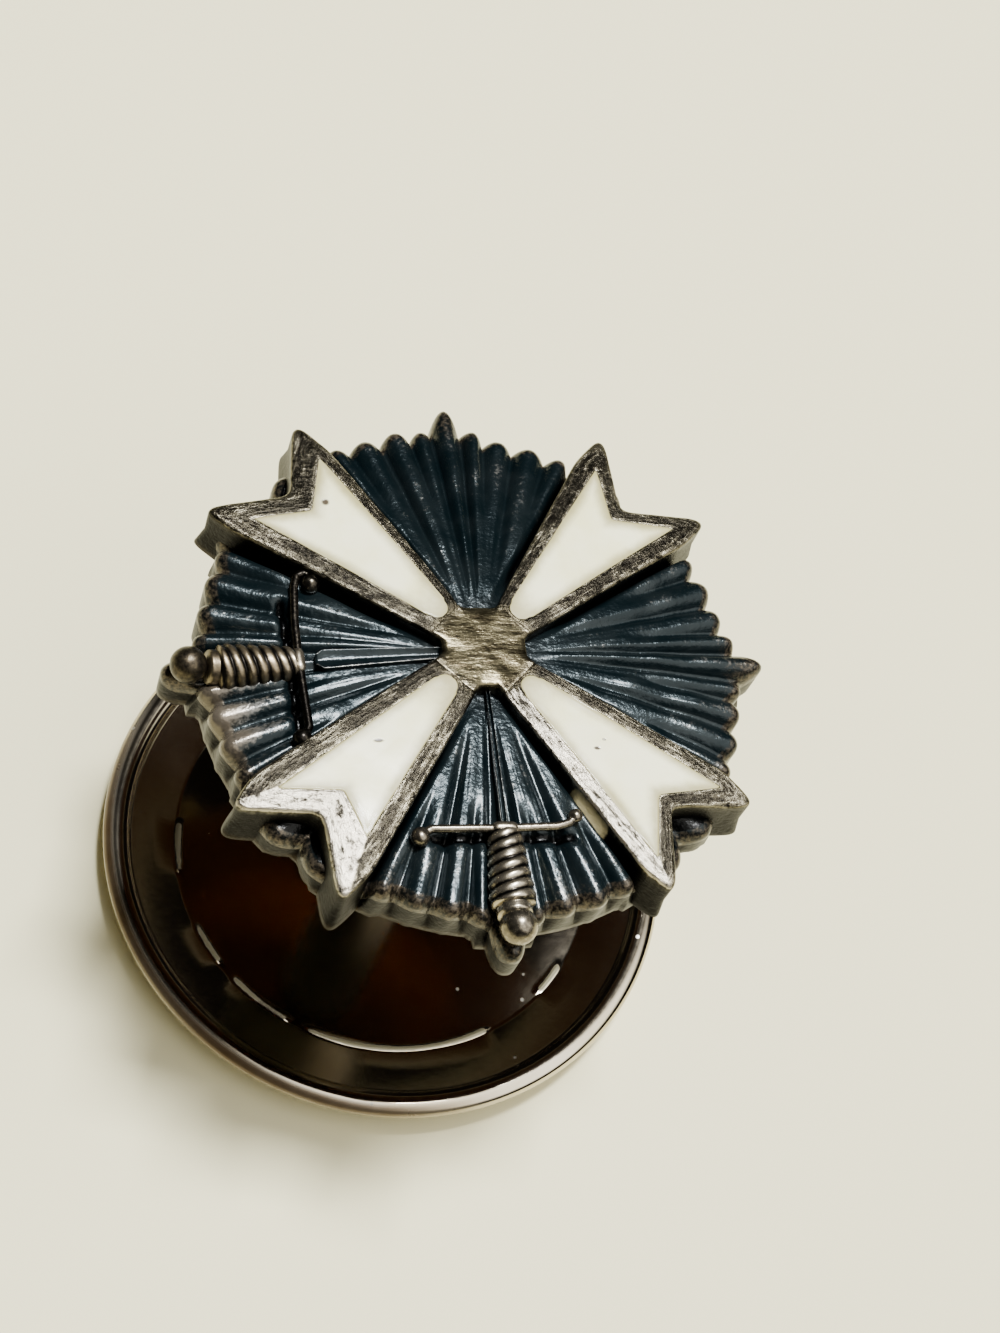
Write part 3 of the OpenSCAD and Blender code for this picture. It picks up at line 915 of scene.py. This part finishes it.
def build_enamel(name, arm):
    """The enamel of one arm: a plain bed, a rounded rim and a softly swelling face."""
    loop = field_loop(arm)

    def place(i, j):
        share, height = FIELD_SECTION[j]
        edge = loop[i] + (FIELD_MIDDLE - loop[i]).normalized() * FIELD_GAP
        flat = FIELD_MIDDLE.lerp(edge, share)
        p = turned(flat, arm[0])
        wavy = noise.noise(Vector((p.x * 0.8, p.y * 0.8, 3.0))) if height == 0 else 0.0
        z = HUB_TOP - ENAMEL_LOW - dome(flat.length) + height + FIELD_SWELL * wavy
        return Vector((p.x, p.y, z)), share

    bm = bmesh.new()
    lay_sheet(bm, len(loop), len(FIELD_SECTION) - 1, place, ("rim",))
    piece("enamel_field_" + name, bm, ["enamel_" + name], ENAMEL)


# Swords

def lay_bar(bm, path, radius, columns, rows, wear=0.8):
    """A round bar along an open path; radius(share) gives its radius, 0 at both ends."""
    def place(i, j):
        share = j / rows
        centre = along(path, share)
        ahead = (along(path, min(share + 0.01, 1)) - along(path, max(share - 0.01, 0))).normalized()
        side = ahead.cross(Vector((0, 0, 1))).normalized()
        a = TURN * i / columns
        out = side * math.cos(a) + side.cross(ahead) * math.sin(a)
        return centre + out * radius(share), wear

    lay_sheet(bm, columns, rows, place, ("crest",))


def bulge(share, middle, half, r, power=2):
    """Radius of a ball or barrel that sits on a bar, at a share of the bar's length."""
    return r * math.sqrt(max(0.0, 1 - abs((share - middle) / half) ** power))


def barrel(r, power=2):
    """Radius, by share, of a bar that is one ball or barrel over its whole length."""
    return lambda share: bulge(share, 0.5, 0.5, r, power)


# How high the guards lie over the rays, and the block where blade and guard cross
GUARD_LIFT = 0.1
BLOCK_LIFT = 0.12
BLOCK_HALF = 0.36
BLOCK_R = 0.17


def lay_guard(bm, name, guard, side):
    """A guard with a knob at each end, and the block in its middle."""
    rays_top = HUB_TOP - RAY_STEP - dome(guard)
    height = rays_top + GUARD_LIFT
    path = [Vector((guard + x, side * y, height)) for x, y in GUARD_PATH + HOOKS[name]]
    length = sum((b - a).length for a, b in zip(path, path[1:]))
    bar_r, knob_r, wear = GUARD_BARS[name]
    plain, hooked = PLAIN_KNOB_R / length, knob_r / length

    def radius(share):
        bar = bar_r if plain / 2 < share < 1 - hooked / 2 else 0.0
        plain_knob = bulge(share, plain, plain, PLAIN_KNOB_R)
        return max(bar, plain_knob, bulge(share, 1 - hooked, hooked, knob_r))

    lay_bar(bm, path, radius, columns=16, rows=150, wear=wear)
    block = [Vector((guard, y, rays_top + BLOCK_LIFT)) for y in (-BLOCK_HALF, BLOCK_HALF)]
    lay_bar(bm, block, barrel(BLOCK_R, 4), columns=16, rows=20)


# Section of a blade: share of its half width, height over the rays' crests and wear
HALF_BLADE = [(1.15, -0.3, 0.0), (1.05, 0.0, 0.0), (1.0, 0.12, 0.8), (0.94, 0.15, 1.8),
              (0.84, 0.14, 0.9), (0.6, 0.1, 0.1), (0.3, 0.065, 0.1), (0.12, 0.05, 0.2)]
BLADE_MIDDLE = [(0.0, 0.048, 0.4)]
BLADE_SECTION = HALF_BLADE + BLADE_MIDDLE + [(-x, z, wear) for x, z, wear in HALF_BLADE[::-1]]
BLADE_START = 0.95
BLADE_TAPER = 0.55
BLADE_ROWS = 40


def build_blade(name, azimuth, half, end):
    """A blade from the hub out to its guard, with a line along each edge."""
    def place(i, j):
        across, up, wear = BLADE_SECTION[i]
        share = j / BLADE_ROWS
        x = mix(BLADE_START, end, share)
        width = half * mix(BLADE_TAPER, 1, share) * (1 - 0.5 * smooth((share - 0.94) / 0.06))
        z = HUB_TOP - RAY_STEP - dome(x) + up
        p = turned((x, width * across), azimuth)
        return Vector((p.x, p.y, z)), wear, x / TIP_CIRCLE

    bm = bmesh.new()
    lay_sheet(bm, len(BLADE_SECTION), BLADE_ROWS, place, ("crest", "reach"))
    close_ends(bm)
    piece(name + "_blade", bm, ["star"], RAY_SILVER)


GRIP_COLUMNS = 48
GRIP_ROWS = 160
# Relief of the binding and how flat the grip is
BINDING_RELIEF = 0.045
GRIP_FLATNESS = 0.95
POMMEL_WEAR = 0.65


def lay_grip(bm, guard):
    """A grip with its slanting binding, then its collar and pommel."""
    start = Vector((guard + GRIP_START, 0, HUB_TOP - GRIP_LOW_IN))
    end = Vector((guard + GRIP_START + GRIP_LENGTH, 0, HUB_TOP - GRIP_LOW_OUT))

    def place(i, j):
        share = j / GRIP_ROWS
        a = TURN * i / GRIP_COLUMNS
        wave = abs(math.sin(math.pi * (GRIP_TURNS * share + 0.5 * math.cos(a))))
        uneven = 1 + 1.2 * noise.noise(Vector((share * 9, math.sin(a) * 1.5, guard)))
        r = mix(GRIP_R_IN, GRIP_R_OUT, share ** 0.8) + BINDING_RELIEF * uneven * (wave - 0.75)
        out = Vector((0, math.cos(a), GRIP_FLATNESS * math.sin(a)))
        return start.lerp(end, share) + out * barrel(r, 30)(share), 0.25 + 0.75 * wave

    lay_sheet(bm, GRIP_COLUMNS, GRIP_ROWS, place, ("crest",))
    collar = [end - Vector((0.12, 0, 0)), end + Vector((0.3, 0, 0.06))]
    lay_bar(bm, collar, barrel(COLLAR_R, 6), columns=40, rows=20)
    middle, reach = Vector((POMMEL_AT, 0, HUB_TOP - POMMEL_LOW)), Vector((POMMEL_R, 0, 0))
    pommel = [middle - reach, middle + reach]
    lay_bar(bm, pommel, barrel(POMMEL_R), columns=40, rows=30, wear=POMMEL_WEAR)


def build_hilt(name, azimuth, side, guard):
    """Guard, grip and pommel of a sword, laid along +X and turned to its azimuth."""
    bm = bmesh.new()
    lay_guard(bm, name, guard, side)
    lay_grip(bm, guard)
    bmesh.ops.rotate(bm, verts=bm.verts, cent=(0, 0, 0),
                     matrix=Matrix.Rotation(math.radians(azimuth), 3, "Z"))
    piece(name + "_hilt", bm, ["star"], SWORD_SILVER)


# Post and back disc

POST_EASE = 0.1
POST_STEPS = 64


def build_post():
    """The plain post, with eased ends."""
    inner = POST_R - POST_EASE
    section = [(0.0, POST_FOOT), (inner, POST_FOOT)]
    section += arc((inner, POST_FOOT + POST_EASE), POST_EASE, -90, 0, 4)
    section += arc((inner, POST_TOP - POST_EASE), POST_EASE, 0, 90, 4) + [(0.0, POST_TOP)]
    piece("post_bar", spun(section, POST_STEPS), ["post"], POST_METAL)


def bend_up(low, radius, slope, steps):
    """Bend from the disc's floor at a height up to the flange's slope."""
    return arc((FLOOR_R, low + radius), radius, -90, slope - 90, steps)


# Raised crease round the disc's floor, and the middles and half lengths of its parts in degrees
CREASE_R = 6.42
CREASE_W = 0.1
CREASE_H = 0.07
CREASES = [(178, 6), (207, 5), (228, 8), (268, 24), (318, 4), (20, 40), (110, 25)]


def crease(r, azimuth):
    """Share of a crease's full rise at a place on the disc's floor."""
    inside = 0.0
    for at, half in CREASES:
        away = abs((azimuth - at + 180) % 360 - 180)
        inside = max(inside, smooth(1 - (away - half) / 2))
    broken = 0.7 + 0.6 * noise.noise(polar(4.0, azimuth, 2.0))
    return inside * broken * math.exp(-((r - CREASE_R) / CREASE_W) ** 2)


# Painted brown reflection on the bead: azimuth of its middle, and where it starts outwards and upwards
PAINTED_REFLECTION_AZIMUTH = 215
PAINTED_REFLECTION_R = 8.4
PAINTED_REFLECTION_Z = BEAD_Z + 0.02


def bead_painted_reflection(r, azimuth, height):
    """How much painted brown reflection the bead's upper outer side gets: most below the left hilt."""
    facing = math.cos(math.radians(azimuth - PAINTED_REFLECTION_AZIMUTH))
    outside = smooth((r - PAINTED_REFLECTION_R) / 0.14) * smooth((height - PAINTED_REFLECTION_Z) / 0.08)
    return outside * smooth((facing - 0.2) / 0.6)


# Radii of the flange's last rings before the bead, how far past half a turn the bead closes in
# degrees, and the eased edge of the hole
FLANGE_RINGS = (7.2, 7.82, 7.88)
BEAD_PAST = 2
HOLE_EASE = 0.05
# Band of the floor with fine rings for the crease, outside and inside the floor's edge
BAND_OUT = 0.1
BAND_IN = 0.3
DISC_STEPS = 256


def disc_section():
    """Section of the dished sheet: out along its underside, round the bead and in on top."""
    hole = POST_R + POST_GAP
    under = [(mix(hole + HOLE_EASE, FLOOR_R, k / 8), 0.0) for k in range(8)]
    under += bend_up(0.0, BEND_R + SHEET, UNDER_SLOPE, 10)
    bead_end = FLANGE_SLOPE + 180 + BEAD_PAST
    round_bead = arc((BEAD_AT, BEAD_Z), BEAD_R, UNDER_SLOPE - 90, bead_end, 28)
    bead = [(BEAD_AT + BEAD_R - BEAD_HALF * (1 - (r - BEAD_AT) / BEAD_R), z) for r, z in round_bead]
    bend = bend_up(SHEET, TOP_BEND_R, FLANGE_SLOPE, 8)
    bend_r, bend_z = bend[-1]
    rise = math.tan(math.radians(FLANGE_SLOPE))
    slope = [(r, bend_z + rise * (r - bend_r)) for r in (bend_r + 0.04, *FLANGE_RINGS)]
    top = slope[::-1] + bend[::-1]
    top += [(mix(FLOOR_R + BAND_OUT, FLOOR_R - BAND_IN, k / 16), SHEET) for k in range(17)]
    top += [(mix(FLOOR_R - BAND_IN - 0.1, hole + HOLE_EASE, k / 12), SHEET) for k in range(13)]
    return under + bead + top + [(hole, SHEET - HOLE_EASE), (hole, HOLE_EASE)]


def build_back_disc():
    """The dished disc, with its creases raised and its painted brown reflection marked."""
    bm = spun(disc_section(), DISC_STEPS)
    rub_and_highlight, brown = bm.verts.layers.float.new("crease"), bm.verts.layers.float.new("painted_reflection")
    for vert in bm.verts:
        r = math.hypot(vert.co.x, vert.co.y)
        azimuth = math.degrees(math.atan2(vert.co.y, vert.co.x))
        vert[brown] = bead_painted_reflection(r, azimuth, vert.co.z)
        on_floor = abs(vert.co.z - SHEET) < 0.02
        if on_floor and abs(r - CREASE_R) < 4 * CREASE_W:
            vert[rub_and_highlight] = crease(r, azimuth)
            vert.co.z += CREASE_H * vert[rub_and_highlight]
    piece("disc_sheet", bm, ["back_disc"], NICKEL)


build_ray_plate()
build_cross_frame()
for arm_name, arm_row in ARMS.items():
    build_enamel(arm_name, arm_row)
for sword_name, (azimuth, side, guard, blade_half, blade_end) in SWORDS.items():
    build_hilt(sword_name, azimuth, side, guard)
    build_blade(sword_name, azimuth, blade_half, blade_end)
build_post()
build_back_disc()


# Floor, light and camera

# Half the floor's side, in metres
FLOOR_HALF = 0.6


def lay_floor():
    """The floor that the pin stands on, part of the stage."""
    bm = bmesh.new()
    bmesh.ops.create_grid(bm, x_segments=8, y_segments=8, size=FLOOR_HALF)
    mesh = bpy.data.meshes.new("floor")
    bm.to_mesh(mesh)
    bm.free()
    floor = bpy.data.objects.new("floor", mesh)
    bpy.context.scene.collection.objects.link(floor)
    mesh.materials.append(pale_floor())


def softbox(name, azimuth, elevation, roll, distance, width, height, watts):
    """A rectangular lamp that faces the star; angles in degrees and lengths in metres."""
    lamp = bpy.data.lights.new(name, "AREA")
    lamp.shape = "RECTANGLE"
    lamp.size, lamp.size_y = width, height
    lamp.energy = watts
    obj = bpy.data.objects.new(name, lamp)
    out = polar(math.cos(math.radians(elevation)), azimuth, math.sin(math.radians(elevation)))
    obj.location = out * distance + Vector((0, 0, HUB_TOP * MM))
    facing = out.to_track_quat("Z", "Y") @ Euler((0, 0, math.radians(roll))).to_quaternion()
    obj.rotation_euler = facing.to_euler()
    bpy.context.scene.collection.objects.link(obj)


# The middle of the room's pale part, the cosines of the angles from there at which it is dark
# and pale, and its colours
ROOM_AZIMUTH = 325
ROOM_ELEVATION = math.radians(57)
ROOM_DARK = (0.78, (0.0015, 0.0012, 0.001, 1.0))
ROOM_PALE = (0.9, (1.0, 0.97, 0.9, 1.0))
ROOM_STRENGTH = 3.2


def bright_room():
    """A room that is pale to the right of the camera and dark beyond the pin."""
    world = bpy.data.worlds.new("room")
    world.use_nodes = True
    bpy.context.scene.world = world
    nodes, links = world.node_tree.nodes, world.node_tree.links
    backdrop = nodes["Background"]
    way = nodes.new("ShaderNodeTexCoord")
    facing = nodes.new("ShaderNodeVectorMath")
    facing.operation = "DOT_PRODUCT"
    links.new(way.outputs["Generated"], facing.inputs[0])
    facing.inputs[1].default_value = polar(math.cos(ROOM_ELEVATION), ROOM_AZIMUTH,
                                           math.sin(ROOM_ELEVATION))
    ramp = nodes.new("ShaderNodeValToRGB")
    links.new(facing.outputs["Value"], ramp.inputs[0])
    for stop, (position, color) in zip(ramp.color_ramp.elements, (ROOM_DARK, ROOM_PALE)):
        stop.position = position
        stop.color = color
    links.new(ramp.outputs[0], backdrop.inputs["Color"])
    backdrop.inputs["Strength"].default_value = ROOM_STRENGTH


# Camera fitted to the photo: place in millimetres, turn in degrees, focal length for 36 mm
CAMERA_AT = Vector((-15.4511, -27.8167, 61.5683))
CAMERA_TURN = (30.263, -14.271, -7.242)
CAMERA_LENS = 59.415


def set_camera():
    """The camera at the photo's angle."""
    camera = bpy.data.cameras.new("camera")
    camera.sensor_width = 36
    camera.lens = CAMERA_LENS
    camera.clip_start, camera.clip_end = 0.001, 10
    obj = bpy.data.objects.new("camera", camera)
    obj.location = CAMERA_AT * MM
    obj.rotation_euler = Euler([math.radians(a) for a in CAMERA_TURN])
    bpy.context.scene.collection.objects.link(obj)
    bpy.context.scene.camera = obj


lay_floor()
softbox("overhead_softbox", azimuth=52, elevation=76, roll=20, distance=0.4, width=0.085,
        height=0.07, watts=4.6)
bright_room()
set_camera()
